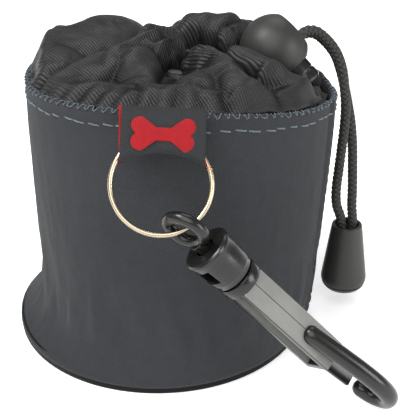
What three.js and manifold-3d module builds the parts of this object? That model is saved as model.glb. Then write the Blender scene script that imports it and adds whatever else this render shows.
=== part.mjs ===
// Treat pouch: a soft drawstring bag on a stiff round base, with a ball cord lock,
// a bell cord end, and a swivel snap hook on a split ring.
// Millimetres, +Z up. Origin: centre of the underside of the base. The label faces -Y.
import * as THREE from 'three';
import { mergeVertices } from 'three/addons/utils/BufferGeometryUtils.js';
import Module from 'manifold-3d';

const wasm = await Module();
wasm.setup();

// ---------- driving dimensions ----------
const GAP = 0.3;                 // running gap kept between pieces that touch

const BASE_RADIUS = 35;
const BASE_PANEL_THICK = 1.2;
const EDGING_HEIGHT = 3;
const STIFFENER_THICK = 1.5;
const BASE_LINING_THICK = 0.6;

const WALL_HEIGHT = 63;
const WALL_THICK = 1.1;
const WAIST_RADIUS = 32.8;       // wall radius just above the base
const BASE_FLARE = 2.6;          // extra radius at the base, dying out upwards
const RIM_FLARE = 1.5;           // extra radius at the rim
const RIM_FLATTEN = 0.07;        // the rim is this much less deep than wide
const LEAN_LOW = 4;              // sideways set of the wall just above the base
const LEAN_HIGH = 1.2;           // further set at the rim
const LINING_THICK = 0.6;
const LINING_TOP = 57;
const OVERLOCK_HEIGHT = 0.8;

const COLLAR_THICK = 1;
const MOUTH_SHIFT = 2;           // the mouth lies this far right of the wall's axis
const MOUTH_Z = 64.5;
const TUNNEL_RING_RADIUS = 8;    // drawstring ring, centre line
const TUNNEL_RADIUS = 2.1;       // outside of the tunnel's section
const TUNNEL_BORE = 1.6;
const CORD_DIAMETER = 2.4;

const LOCK_CENTRE = new THREE.Vector3(26.2, 2, 67);
const LOCK_RADIUS = 7.7;
const LOCK_FLAT = 5.9;           // distance of the cord-hole flats from the centre
const LOCK_FACE = 6.3;           // distance of the plunger face from the centre
const LOCK_BORE = 4.2;
const LOCK_FLOOR = 6.1;          // depth of the bore's floor behind the centre
const CORD_HOLE_RADIUS = 3.5;
const CORD_HOLE_SHIFT = 0.6;
const PLUNGER_RADIUS = 3.9;
const PLUNGER_TIP = 11.3;
const PLUNGER_HEEL = 2.8;
const PLUNGER_AXIS = new THREE.Vector3(0.674, -0.282, -0.682).normalize();
const CORD_AXIS = new THREE.Vector3(0.738, 0.288, 0.61);

const BELL_X = 45.6;
const BELL_Y = 1;
const BELL_TOP = 22.2;
const BELL_BOTTOM = 3.6;
const BELL_RADIUS = 5.6;
const BELL_NECK_RADIUS = 3.7;

const RING_CENTRE = new THREE.Vector3(0.2, -40.8, 54.8);
const RING_RADIUS = 9.75;        // centre line of the wire
const RING_WIRE = 0.95;
const RING_TILT = 33;            // degrees that ring and label stand off the wall
const RING_TURN = 28;            // degrees round the ring where the eye sits

const LABEL_WIDTH = 16.4;
const LABEL_PLY = 0.5;
const LABEL_GAP = 3.1;
const LABEL_ROLL = 4;            // degrees that the label is turned in its own plane

const HOOK_LEAN = 48;            // degrees that the hook points down
const HOOK_YAW = 5;
const HOOK_ROLL = 20;
const EYE_RADIUS = 3.8;
const EYE_ROD = 1.25;
const EYE_TURN = 10;             // degrees that the eye is turned on the hook's axis
const EYE_DROP = 0.3;            // the eye hangs this far off the wire's centre line
const HOUSING_START = 5.6;       // distances along the hook from the eye's centre
const HOUSING_END = 13.8;
const BAR_START = 16.8;
const BAR_END = 43.5;
const BAR_HALF = 3.3;
const ROD_THICK = 3.9;

// ---------- small helpers ----------
const rad = THREE.MathUtils.degToRad;

function signedVolume(geometry) {
  const p = geometry.attributes.position;
  const index = geometry.index.array;
  const a = new THREE.Vector3();
  const b = new THREE.Vector3();
  const c = new THREE.Vector3();
  let sum = 0;
  for (let i = 0; i < index.length; i += 3) {
    a.fromBufferAttribute(p, index[i]);
    b.fromBufferAttribute(p, index[i + 1]);
    c.fromBufferAttribute(p, index[i + 2]);
    sum += a.dot(b.cross(c));
  }
  return sum / 6;
}

// Weld a closed geometry to bare shared vertices whose faces point outwards.
function weld(geometry) {
  const bare = geometry.clone();
  bare.deleteAttribute('normal');
  bare.deleteAttribute('uv');
  const welded = mergeVertices(bare, 1e-4);
  const index = Array.from(welded.index.array);
  const kept = [];
  for (let i = 0; i < index.length; i += 3) {
    const [a, b, c] = index.slice(i, i + 3);
    if (a !== b && b !== c && c !== a) kept.push(a, b, c);
  }
  welded.setIndex(kept);
  if (signedVolume(welded) < 0) {
    for (let i = 0; i < kept.length; i += 3) [kept[i], kept[i + 1]] = [kept[i + 1], kept[i]];
    welded.setIndex(kept);
  }
  return welded;
}

function solid(geometry) {
  const welded = weld(geometry);
  return new wasm.Manifold(new wasm.Mesh({
    numProp: 3,
    vertProperties: new Float32Array(welded.attributes.position.array),
    triVerts: new Uint32Array(welded.index.array),
  }));
}

function geometryOf(body) {
  const mesh = body.getMesh();
  const geometry = new THREE.BufferGeometry();
  geometry.setAttribute('position', new THREE.BufferAttribute(mesh.vertProperties, 3));
  geometry.setIndex(Array.from(mesh.triVerts));
  return geometry;
}

function cut(blank, ...tools) {
  return geometryOf(tools.reduce((body, tool) => body.subtract(solid(tool)), solid(blank)));
}

// A body of revolution about Z. Profile points are [radius, height].
function turned(profile, segments = 40) {
  const points = profile.map(([r, z]) => new THREE.Vector2(r, z));
  const onAxis = profile[0][0] === 0 && profile[profile.length - 1][0] === 0;
  if (!onAxis) points.push(points[0].clone());
  return new THREE.LatheGeometry(points, segments).rotateX(Math.PI / 2);
}

function rod(radius, from, to, segments = 24) {
  const geometry = new THREE.CylinderGeometry(radius, radius, to - from, segments);
  return geometry.rotateX(Math.PI / 2).translate(0, 0, (from + to) / 2);
}

function block(x0, x1, y0, y1, z0, z1) {
  const geometry = new THREE.BoxGeometry(x1 - x0, y1 - y0, z1 - z0);
  return geometry.translate((x0 + x1) / 2, (y0 + y1) / 2, (z0 + z1) / 2);
}

function polygon(radius, sides) {
  const corners = [];
  for (let i = 0; i < sides; i += 1) {
    const angle = (2 * Math.PI * i) / sides;
    corners.push(new THREE.Vector2(radius * Math.cos(angle), radius * Math.sin(angle)));
  }
  return new THREE.Shape(corners);
}

function tube(curve, radius, steps, sides = 8) {
  const options = { steps, bevelEnabled: false, extrudePath: curve };
  return new THREE.ExtrudeGeometry(polygon(radius, sides), options);
}

// Turns a geometry made about +Z so that +Z becomes zAxis and +Y leans to yAxis.
function place(geometry, origin, zAxis, yAxis) {
  const z = zAxis.clone().normalize();
  const x = yAxis.clone().cross(z).normalize();
  const y = z.clone().cross(x);
  const matrix = new THREE.Matrix4().makeBasis(x, y, z).setPosition(origin);
  return geometry.applyMatrix4(matrix);
}

function warp(geometry, move) {
  const p = geometry.attributes.position;
  const v = new THREE.Vector3();
  for (let i = 0; i < p.count; i += 1) {
    v.fromBufferAttribute(p, i);
    move(v);
    p.setXYZ(i, v.x, v.y, v.z);
  }
  return geometry;
}

const finishes = {
  wallCloth: { color: 0x4a4b4e, roughness: 0.95, metalness: 0 },
  nylon: { color: 0x303032, roughness: 0.7, metalness: 0 },
  thread: { color: 0x66788c, roughness: 0.8, metalness: 0 },
  baseCloth: { color: 0x1f2021, roughness: 0.85, metalness: 0 },
  board: { color: 0x8b7b64, roughness: 0.9, metalness: 0 },
  cord: { color: 0x1c1c1d, roughness: 0.8, metalness: 0 },
  mattePlastic: { color: 0x2f3030, roughness: 0.55, metalness: 0 },
  glossPlastic: { color: 0x151516, roughness: 0.25, metalness: 0 },
  ribbon: { color: 0x2e2f31, roughness: 0.9, metalness: 0 },
  nickel: { color: 0xc9c2b4, roughness: 0.2, metalness: 1 },
  springSteel: { color: 0xa5a6a8, roughness: 0.3, metalness: 1 },
};

const group = new THREE.Group();

function add(name, geometry, finish, parent = group) {
  const mesh = new THREE.Mesh(weld(geometry), new THREE.MeshStandardMaterial(finishes[finish]));
  mesh.name = name;
  parent.add(mesh);
  return mesh;
}

// ---------- bag ----------
function wallRadius(z) {
  return WAIST_RADIUS + BASE_FLARE * Math.exp(-z / 7) + (RIM_FLARE * z) / 60;
}

// The lean, oval mouth and wavy rim that every cloth piece of the bag shares.
function sagWithBag(v) {
  const height = Math.min(v.z / WALL_HEIGHT, 1);
  const angle = Math.atan2(v.y, v.x);
  const front = Math.max(0, -Math.sin(angle)) ** 2;
  const back = Math.max(0, Math.sin(angle)) ** 2;
  const spread = Math.min(1, Math.hypot(v.x, v.y) / 30) ** 2;
  const rise = 4.5 * front + 1.5 * back - 2.25 * (1 + Math.cos(angle));
  v.y *= 1 - RIM_FLATTEN * height * spread;
  v.x += LEAN_LOW * (1 - Math.exp(-v.z / 8)) + LEAN_HIGH * height ** 2;
  v.z += rise * height ** 2 * spread;
}

// A thin tube of cloth that follows the wall at a given distance inside it.
function clothTube(inset, thick, bottom, top, steps) {
  const outer = [];
  const inner = [];
  for (let i = 0; i <= steps; i += 1) {
    const z = bottom + (top - bottom) * (i / steps) ** 1.6;
    outer.push([wallRadius(z) - inset, z]);
    inner.unshift([wallRadius(z) - inset - thick, z]);
  }
  return warp(turned([...outer, ...inner], 48), sagWithBag);
}

function makeBase() {
  const panelRadius = BASE_RADIUS - 1;
  const edging = [
    [panelRadius + GAP, 0], [BASE_RADIUS - 0.2, 0], [BASE_RADIUS, 0.8],
    [BASE_RADIUS, EDGING_HEIGHT - 0.6], [BASE_RADIUS - 0.2, EDGING_HEIGHT],
    [panelRadius + GAP, EDGING_HEIGHT],
  ];
  const stiffenerLow = BASE_PANEL_THICK + GAP;
  const stiffenerTop = stiffenerLow + STIFFENER_THICK;
  const liningLow = stiffenerTop + GAP;
  add('base_panel', rod(panelRadius, 0, BASE_PANEL_THICK, 48), 'baseCloth');
  add('base_edging', turned(edging, 48), 'baseCloth');
  add('base_stiffener', rod(panelRadius - 1, stiffenerLow, stiffenerTop, 48), 'board');
  add('base_lining', rod(panelRadius - 2.8, liningLow, liningLow + BASE_LINING_THICK, 48), 'nylon');
}

function makeWall() {
  const wallLow = EDGING_HEIGHT + GAP;
  const liningInset = WALL_THICK + GAP;
  const overlockLow = WALL_HEIGHT + GAP;
  add('outer_wall', clothTube(0, WALL_THICK, wallLow, WALL_HEIGHT, 9), 'wallCloth');
  add('wall_lining', clothTube(liningInset, LINING_THICK, 4.4, LINING_TOP, 8), 'nylon');
  add('rim_overlock', clothTube(0, WALL_THICK, overlockLow, overlockLow + OVERLOCK_HEIGHT, 1),
    'thread');
}

function collarFoot() {
  return wallRadius(LINING_TOP) - WALL_THICK - GAP - 0.2;
}

// How far in from the collar's foot to its mouth a radius is, 0 to 1.
function shareToMouth(radius) {
  const foot = collarFoot();
  const mouth = TUNNEL_RING_RADIUS + TUNNEL_RADIUS;
  return THREE.MathUtils.clamp((foot - radius) / (foot - mouth), 0, 1);
}

// Puffs round the collar, a hollow on the right that the cord lock rests in.
function puffCollar(v) {
  const radius = Math.hypot(v.x, v.y);
  const angle = Math.atan2(v.y, v.x);
  const share = shareToMouth(radius);
  const risen = THREE.MathUtils.smoothstep(v.z, LINING_TOP, LINING_TOP + 4);
  const crown = Math.sin(Math.PI * share) * risen;
  const hollow = Math.exp(-((angle / 0.62) ** 2));
  const back = Math.max(0, Math.sin(angle)) ** 2;
  const puffs = 1.1 * Math.cos(7 * angle + 0.6) + 0.7 * Math.cos(3 * angle + 1.9);
  v.z += crown * (puffs * (1 - hollow) - 15.5 * hollow - 4.5 * back);
  sagWithBag(v);
  v.x += MOUTH_SHIFT * share;
}

function makeCollar() {
  const foot = collarFoot();
  const outline = new THREE.SplineCurve([
    [foot, LINING_TOP + GAP], [foot, 62], [foot - 1.2, 67], [28, 70.4], [22.5, 71.6],
    [17.5, 70], [13.5, 66.6], [TUNNEL_RING_RADIUS + TUNNEL_RADIUS + GAP, 64.6],
  ].map(([r, z]) => new THREE.Vector2(r, z)));
  const outer = outline.getSpacedPoints(13);
  const inner = outer.map((point, i) => {
    const tangent = outline.getTangentAt(i / 13);
    return new THREE.Vector2(point.x - tangent.y * COLLAR_THICK, point.y + tangent.x * COLLAR_THICK);
  });
  inner[0].y = outer[0].y;
  inner[13].x = outer[13].x;
  const profile = [...outer, ...inner.reverse()].map((point) => [point.x, point.y]);
  const shell = warp(turned(profile, 48), puffCollar);
  const mouth = mouthCentre();
  const cordNotch = rod(4.4, 0, 17, 20);
  const along = new THREE.Vector3(1, 0, -0.25);
  place(cordNotch, mouth.clone().add(new THREE.Vector3(5.5, 0, 0.4)), along, new THREE.Vector3(0, 1, 0));
  add('collar', cut(shell, cordNotch), 'nylon');
}

// ---------- drawstring ----------
function mouthCentre() {
  return new THREE.Vector3(LEAN_LOW + LEAN_HIGH + MOUTH_SHIFT, 0, MOUTH_Z);
}

function ringSection(radius) {
  const points = [];
  for (let i = 0; i < 10; i += 1) {
    const angle = (2 * Math.PI * i) / 10;
    const out = TUNNEL_RING_RADIUS + radius * Math.cos(angle);
    points.push([out, radius * Math.sin(angle)]);
  }
  return points;
}

function makeTunnel() {
  const exit = block(5.6, 12, -7, 7, -3, 3);
  const tunnel = cut(turned(ringSection(TUNNEL_RADIUS), 32), turned(ringSection(TUNNEL_BORE), 32), exit);
  const mouth = mouthCentre();
  add('drawstring_tunnel', tunnel, 'nylon').position.copy(mouth);
}

// The part of the cord that lies in the tunnel, with its two ends turned out to the lock.
function makeLoop() {
  const mouth = mouthCentre();
  const points = [[21.4, 0.3, 60], [19.9, 0.4, 60.6], [18.2, 1, 62], [16.4, 2.4, 63.8]];
  for (let degrees = 40; degrees <= 320; degrees += 20) {
    const x = mouth.x + TUNNEL_RING_RADIUS * Math.cos(rad(degrees));
    const y = TUNNEL_RING_RADIUS * Math.sin(rad(degrees));
    points.push([x, y, MOUTH_Z]);
  }
  points.push([16.4, -3, 64], [18.2, -2.6, 62.8], [19.9, -2.5, 61.6], [21.4, -2.2, 61.1]);
  const route = new THREE.CatmullRomCurve3(points.map((p) => new THREE.Vector3(...p)));
  add('drawstring_loop', tube(route, CORD_DIAMETER / 2, 32), 'cord');
}

// The two strands run through the lock side by side, arch over and hang to the bell.
const TAIL_BACK = [
  [22.2, 0.7, 60.6], [24.6, 1.6, 62.5], [27.5, 2.8, 65], [30.5, 3.9, 67.4], [32.1, 4.6, 68.8],
  [33.8, 5.3, 69.3], [35.4, 5.9, 69.2], [37, 6.2, 68.4], [39.1, 6, 66.5], [41, 5.5, 63.9],
  [42.3, 4.9, 60.5], [43.4, 4.4, 56.5], [44.5, 3.9, 51.9], [45.4, 3.3, 47], [45.9, 2.5, 41.7],
  [46.1, 1.6, 36.4], [46.3, 1.1, 31.5], [46.4, 0.9, 27.5], [46.7, 0.9, 24.6], [46.95, 1, 22.2],
  [46.95, 1, 20.2],
];
const TAIL_FRONT = [
  [22.3, -2, 61.9], [24.6, -1.1, 63.8], [27.6, 0.1, 66.3], [30.5, 1.2, 68.7], [32.2, 1.9, 70.1],
  [33.6, 2.7, 70.7], [35.2, 3.3, 70.6], [36.8, 3.6, 69.8], [38.9, 3.4, 67.9], [40.8, 2.9, 65.3],
  [42.1, 2.1, 61.9], [42.8, 1.6, 57.8], [43.3, 1.1, 53.1], [43.3, 1, 48], [43, 1.1, 42.3],
  [42.7, 1.3, 36.6], [42.4, 1.2, 31.5], [42.7, 1.1, 27.5], [43.7, 1, 24.6], [44.25, 1, 22.2],
  [44.25, 1, 20.2],
];

function makeTails() {
  for (const [name, points] of [['drawstring_tail_back', TAIL_BACK], ['drawstring_tail_front', TAIL_FRONT]]) {
    const route = new THREE.CatmullRomCurve3(points.map((p) => new THREE.Vector3(...p)));
    add(name, tube(route, CORD_DIAMETER / 2, 20), 'cord');
  }
}

// ---------- cord lock ----------
// Made with the plunger along +Z and the cord hole along +Y.
function lockAxes() {
  const cord = CORD_AXIS.clone();
  cord.addScaledVector(PLUNGER_AXIS, -cord.dot(PLUNGER_AXIS)).normalize();
  return cord;
}

function cordHole(radius, reach) {
  return rod(radius, -reach, reach, 28).rotateX(Math.PI / 2).translate(0, 0, CORD_HOLE_SHIFT);
}

function makeLock() {
  const reach = LOCK_RADIUS + 1;
  const ball = new THREE.SphereGeometry(LOCK_RADIUS, 36, 24);
  const barrel = cut(
    ball,
    block(-reach, reach, LOCK_FLAT, reach, -reach, reach),
    block(-reach, reach, -reach, -LOCK_FLAT, -reach, reach),
    block(-reach, reach, -reach, reach, LOCK_FACE, reach),
    rod(LOCK_BORE, -LOCK_FLOOR, reach, 32),
    cordHole(CORD_HOLE_RADIUS, reach),
  );
  const button = turned([
    [0, -PLUNGER_HEEL], [PLUNGER_RADIUS, -PLUNGER_HEEL], [PLUNGER_RADIUS, PLUNGER_TIP - 0.8],
    [PLUNGER_RADIUS - 0.8, PLUNGER_TIP], [0, PLUNGER_TIP],
  ], 32);
  const slot = block(-2.95, 2.95, -reach, reach, 0.5, 6.2);
  const springWell = rod(2.9, -PLUNGER_HEEL - 1, -0.3, 24);
  const plunger = cut(button, slot, springWell);
  const coil = new Coil(2.3, 4, 1.15, -5.5);
  const spring = tube(coil, 0.3, 48, 6);
  const cord = lockAxes();
  add('cord_lock_barrel', place(barrel, LOCK_CENTRE, PLUNGER_AXIS, cord), 'mattePlastic');
  add('cord_lock_plunger', place(plunger, LOCK_CENTRE, PLUNGER_AXIS, cord), 'glossPlastic');
  add('cord_lock_spring', place(spring, LOCK_CENTRE, PLUNGER_AXIS, cord), 'springSteel');
}

// A helix about Z: radius, number of turns, rise per turn and height of its first end.
class Coil extends THREE.Curve {
  constructor(radius, turns, pitch, low) {
    super();
    Object.assign(this, { radius, turns, pitch, low });
  }

  getPoint(t, target = new THREE.Vector3()) {
    const angle = 2 * Math.PI * this.turns * t;
    const height = this.low + this.pitch * this.turns * t;
    return target.set(this.radius * Math.cos(angle), this.radius * Math.sin(angle), height);
  }
}

// ---------- bell cord end ----------
function makeBell() {
  const wide = BELL_BOTTOM + 4.6;
  const shell = turned([
    [2.9, BELL_TOP], [BELL_NECK_RADIUS - 0.3, BELL_TOP], [BELL_NECK_RADIUS, BELL_TOP - 0.4],
    [BELL_RADIUS - 0.1, wide], [BELL_RADIUS, wide - 1], [BELL_RADIUS - 0.2, wide - 2],
    [4.3, wide - 2], [4.3, wide], [3.2, 16.6], [2.9, 18],
  ], 36);
  const plug = turned([
    [0, BELL_BOTTOM], [2.6, BELL_BOTTOM + 0.2], [4.4, BELL_BOTTOM + 1.1],
    [BELL_RADIUS - 0.3, wide - 2 - GAP], [4, wide - 2 - GAP], [4, wide - 0.6], [0, wide - 0.6],
  ], 36);
  const knot = new THREE.SphereGeometry(2.6, 16, 12).translate(0, 0, 12.6);
  const cords = [-1.3, 1.3].map((x) => rod(CORD_DIAMETER / 2, 13, 19.8, 8).translate(x, 0, 0));
  const knotted = cords.reduce((body, piece) => body.add(solid(piece)), solid(knot));
  for (const [name, shape, finish] of [
    ['cord_end_bell', shell, 'mattePlastic'],
    ['cord_end_plug', plug, 'mattePlastic'],
    ['cord_end_knot', geometryOf(knotted), 'cord'],
  ]) {
    add(name, shape, finish).position.set(BELL_X, BELL_Y, 0);
  }
}

// ---------- label and split ring ----------
// Ring frame: +X right, +Y up along the ring's plane, +Z out of the plane, away from the bag.
function ringFrame() {
  const frame = new THREE.Group();
  frame.position.copy(RING_CENTRE);
  frame.rotation.x = rad(90 - RING_TILT);
  group.add(frame);
  return frame;
}

class DoubleCoil extends THREE.Curve {
  getPoint(t, target = new THREE.Vector3()) {
    const angle = 2 * Math.PI * 1.94 * t + rad(40);
    const step = THREE.MathUtils.smoothstep(t, 0.42, 0.58) - 0.5;
    const x = RING_RADIUS * Math.cos(angle);
    const y = RING_RADIUS * Math.sin(angle);
    return target.set(x, y, (RING_WIRE + 0.06) * step);
  }
}

function makeRing(frame) {
  add('split_ring', tube(new DoubleCoil(), RING_WIRE / 2, 88, 6), 'nickel', frame);
}

function labelProfile(half, top, neck, foot) {
  const corners = [
    [-half, neck], [-half, foot + 0.4], [0.4 - half, foot], [half - 0.4, foot],
    [half, foot + 0.4], [half, neck],
  ];
  const peak = top - neck > 3 ? [[LABEL_PLY, top - 2.6], [LABEL_PLY, top], [-LABEL_PLY, top],
    [-LABEL_PLY, top - 2.6]] : [[0, top]];
  return new THREE.Shape([...corners, ...peak].map(([x, y]) => new THREE.Vector2(x, y)));
}

// A folded ribbon: two plies sewn together at the top, open below round the ring.
function makeLabel(frame) {
  const fold = Math.sqrt(RING_RADIUS ** 2 - (LABEL_WIDTH / 2) ** 2) - 1.5;
  const top = 15;
  const half = LABEL_GAP / 2;
  const ply = LABEL_PLY;
  const ribbon = (shape, width) => {
    const options = { depth: width, bevelEnabled: false };
    return new THREE.ExtrudeGeometry(shape, options).translate(0, 0, -width / 2);
  };
  const label = cut(
    ribbon(labelProfile(half + ply, top, top - 4.6, fold - ply), LABEL_WIDTH),
    ribbon(labelProfile(half, top - 3.4, top - 4.8, fold), LABEL_WIDTH + 2),
  );
  label.rotateY(-Math.PI / 2).rotateZ(rad(-LABEL_ROLL));
  add('label_loop', label, 'ribbon', frame);
}

// ---------- snap hook ----------
// Hook frame: +Z towards the eye, +Y towards the J's rod, +X out of the slotted side.
function hookAxes() {
  const along = new THREE.Vector3(
    Math.cos(rad(HOOK_LEAN)) * Math.cos(rad(HOOK_YAW)),
    Math.cos(rad(HOOK_LEAN)) * Math.sin(rad(HOOK_YAW)),
    -Math.sin(rad(HOOK_LEAN)),
  );
  const facing = new THREE.Vector3(0.29, -0.94, 0.19);
  facing.addScaledVector(along, -facing.dot(along)).normalize();
  facing.applyAxisAngle(along, rad(-HOOK_ROLL));
  return { along, facing };
}

function eyeCentre() {
  const down = new THREE.Vector3(0, -Math.sin(rad(RING_TILT)), -Math.cos(rad(RING_TILT)));
  const centre = RING_CENTRE.clone();
  centre.addScaledVector(down, RING_RADIUS * Math.cos(rad(RING_TURN)));
  centre.x += RING_RADIUS * Math.sin(rad(RING_TURN));
  const { along, facing } = hookAxes();
  return centre.addScaledVector(along.clone().cross(facing), EYE_DROP);
}

function placeOnHook(geometry) {
  const { along, facing } = hookAxes();
  return place(geometry, eyeCentre(), along.clone().negate(), facing);
}

function makeEye() {
  const eye = new THREE.TorusGeometry(EYE_RADIUS, EYE_ROD, 12, 28);
  eye.rotateY(Math.PI / 2).rotateZ(rad(EYE_TURN));
  const shank = turned([
    [0, -4], [1.7, -4], [1.7, -7.4], [3, -7.4], [3, -8.4], [1.9, -10.4], [0, -10.4],
  ], 24);
  add('swivel_eye', placeOnHook(geometryOf(solid(eye).add(solid(shank)))), 'glossPlastic');
}

// The outline of a bent rod: its centre line widened to both sides, with a round tip.
function strokeShape(line, width, steps) {
  const left = [];
  const right = [];
  for (let i = 0; i <= steps; i += 1) {
    const point = line.getPointAt(i / steps);
    const tangent = line.getTangentAt(i / steps);
    const side = new THREE.Vector2(-tangent.y, tangent.x).multiplyScalar(width / 2);
    left.push(point.clone().add(side));
    right.unshift(point.clone().sub(side));
  }
  return new THREE.Shape([...left, ...right]);
}

function jHook() {
  const line = new THREE.SplineCurve([
    [4.3, -36.8], [6.2, -42], [7.8, -47.5], [8.6, -52.6], [7.8, -57], [5, -59.4],
    [1.8, -58.9], [0.1, -56.6], [-0.1, -54.2],
  ].map(([y, z]) => new THREE.Vector2(y, z)));
  const shape = strokeShape(line, ROD_THICK - 2, 22);
  const bevel = { bevelThickness: 1, bevelSize: 1, bevelSegments: 2 };
  const depth = ROD_THICK - 2;
  const hook = new THREE.ExtrudeGeometry(shape, { depth, bevelEnabled: true, ...bevel });
  // The shape's own x runs to +Y and its y along Z.
  const turn = new THREE.Matrix4().makeBasis(
    new THREE.Vector3(0, 1, 0), new THREE.Vector3(0, 0, 1), new THREE.Vector3(1, 0, 0),
  );
  return hook.translate(0, 0, -depth / 2).applyMatrix4(turn);
}

function bar() {
  const shape = new THREE.Shape([
    [-BAR_HALF, -BAR_HALF], [BAR_HALF, -BAR_HALF], [BAR_HALF, BAR_HALF],
    [0, BAR_HALF + 0.5], [-BAR_HALF, BAR_HALF],
  ].map(([x, y]) => new THREE.Vector2(x, y)));
  const depth = BAR_END - BAR_START + 1;
  return new THREE.ExtrudeGeometry(shape, { depth, bevelEnabled: false }).translate(0, 0, -BAR_END);
}

function housing() {
  return turned([
    [0, -BAR_START], [4.2, -BAR_START], [4.2, -HOUSING_END - 0.6], [3.6, -HOUSING_END - 0.6],
    [3.6, -HOUSING_END], [4.5, -HOUSING_END], [5, -9], [5.2, -HOUSING_START - 0.5],
    [4.8, -HOUSING_START], [2.05, -HOUSING_START], [2.05, -HOUSING_START - 1.2],
    [3.4, -HOUSING_START - 1.2], [3.4, -12], [0, -12],
  ], 32);
}

function makeHookBody() {
  const slotLow = -BAR_END + 1.6;
  const slotTop = -BAR_START - 1.6;
  const tools = [
    block(-7, 7, -2.6, 2.6, -11.4, -7.6),
    block(1.4, 5, -1.9, 1.5, slotLow, slotTop),
    block(-5, -1.4, -1.9, 1.5, slotLow, slotTop),
  ];
  const joined = solid(housing()).add(solid(bar())).add(solid(jHook()));
  const body = tools.reduce((piece, tool) => piece.subtract(solid(tool)), joined);
  add('hook_body', placeOnHook(geometryOf(body)), 'glossPlastic');
}

function makeGate() {
  const from = BAR_END + GAP;
  const tongue = new THREE.Shape([
    [-3, -from], [-1.6, -from], [0.2, -52.6], [-0.8, -52.6],
  ].map(([y, z]) => new THREE.Vector2(y, z)));
  const gate = new THREE.ExtrudeGeometry(tongue, { depth: 3.4, bevelEnabled: false });
  const turn = new THREE.Matrix4().makeBasis(
    new THREE.Vector3(0, 1, 0), new THREE.Vector3(0, 0, 1), new THREE.Vector3(1, 0, 0),
  );
  gate.translate(0, 0, -1.7).applyMatrix4(turn);
  add('hook_gate', placeOnHook(gate), 'glossPlastic');
}

makeBase();
makeWall();
makeCollar();
makeTunnel();
makeLoop();
makeTails();
makeLock();
makeBell();
const ring = ringFrame();
makeRing(ring);
makeLabel(ring);
makeEye();
makeHookBody();
makeGate();

export default group;
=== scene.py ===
import math

import bpy
from bpy.props import FloatProperty, FloatVectorProperty, PointerProperty
from bpy.types import Operator, Panel, PropertyGroup
from mathutils import Matrix, Vector, noise


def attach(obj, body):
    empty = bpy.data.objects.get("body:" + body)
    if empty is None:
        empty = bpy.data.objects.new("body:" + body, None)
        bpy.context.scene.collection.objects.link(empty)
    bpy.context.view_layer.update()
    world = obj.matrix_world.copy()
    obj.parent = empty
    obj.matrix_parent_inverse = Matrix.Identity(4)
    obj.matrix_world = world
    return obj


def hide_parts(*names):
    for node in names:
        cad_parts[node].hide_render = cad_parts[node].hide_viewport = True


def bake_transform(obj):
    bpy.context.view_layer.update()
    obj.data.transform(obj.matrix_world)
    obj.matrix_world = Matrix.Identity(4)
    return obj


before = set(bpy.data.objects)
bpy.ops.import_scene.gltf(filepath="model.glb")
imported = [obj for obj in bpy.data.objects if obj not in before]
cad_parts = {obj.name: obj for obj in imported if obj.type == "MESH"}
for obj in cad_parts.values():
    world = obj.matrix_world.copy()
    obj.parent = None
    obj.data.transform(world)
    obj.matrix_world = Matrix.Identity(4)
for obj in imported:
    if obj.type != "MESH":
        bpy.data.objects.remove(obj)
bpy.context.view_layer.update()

bl_info = {
    "name": "Treat pouch",
    "version": (1, 0, 0),
    "blender": (4, 5, 0),
    "location": "View3D > Sidebar > Treat pouch",
    "description": "Cloth, cord, hook and stage of a drawstring treat pouch",
    "category": "Object",
}

MM = 0.001
TURN = 2 * math.pi

# Sizes shared with the solids, in millimetres.
WALL_HEIGHT = 63
SWIRL = (7.3, -2.2)                       # where the gathers of the collar meet
LOCK_CENTRE = Vector((26.2, 2, 67))
PLUNGER_AXIS = Vector((0.674, -0.282, -0.682)).normalized()
CORD_AXIS = Vector((0.738, 0.288, 0.61))
RING_CENTRE = Vector((0.2, -40.8, 54.8))
RING_RADIUS = 9.75
RING_TILT = math.radians(33)
RING_TURN = math.radians(28)
BELL_CENTRE = Vector((45.6, 1, 0))
LABEL_WIDTH = 16.4
COLLAR_FLAT = (205, 30)                   # the height is set to suit the cloth as modelled
LABEL_ROLL = math.radians(-4)

# The collar's cloth simulation: it runs at ten times the size, where the solver is steady.
CRUMPLE_SCALE = 10
CRUMPLE_SLACK = 0.05                      # how much longer the cloth is than its first shape
CRUMPLE_TRAVEL = 1.6                      # the furthest a point may move, in millimetres
CRUMPLE_FRAMES = 22

# Stitching, the foot of the wall cloth and the steps that repeated forms are made with.
SEAM_ANGLE = TURN - 0.34
WALL_FOOT = 1.7
OVERLOCK_TURNS = 104
RUNNING_STITCHES = 64
SEAM_STITCHES = 22
STRAND_STEPS = 380
BRAID_PITCH = 1.25
BONE_RAYS = 120
RING_STEPS = 360
BAR_PAINTED_REFLECTION = 21                          # how much lighter the bar's faces are painted than the hook, as a painted reflection of a lamp

# The camera's place and the way it looks, in metres.
CAMERA_PLACE = (0, -0.212455, 0.139944)
CAMERA_LOOK = Vector((0.04722, 0.88367, -0.46573))


# ---------- sizes and colours that a user would change ----------
def colour(name, description, default):
    return FloatVectorProperty(name=name, description=description, default=default,
                               subtype="COLOR", size=3, min=0, max=1)


def length(name, description, default):
    return FloatProperty(name=name, description=description, default=default * MM,
                         subtype="DISTANCE", unit="LENGTH", min=0)


class PouchCloth(PropertyGroup):
    wall: colour("Wall", "Colour of the brushed wall cloth", (0.028, 0.0295, 0.0325))
    nylon: colour("Nylon", "Colour of the twill collar and lining", (0.0042, 0.0042, 0.0043))
    thread: colour("Thread", "Colour of the overlock and the running stitch", (0.062, 0.087, 0.108))
    base: colour("Base", "Colour of the base and its edging", (0.004, 0.004, 0.0045))
    wall_thickness: length("Wall thickness", "Thickness of the brushed cloth", 1.1)
    collar_thickness: length("Collar thickness", "Thickness of the gathered nylon", 0.45)
    stitch_drop: length("Stitch drop", "Distance from the raw edge to the running stitch", 2.9)


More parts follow.
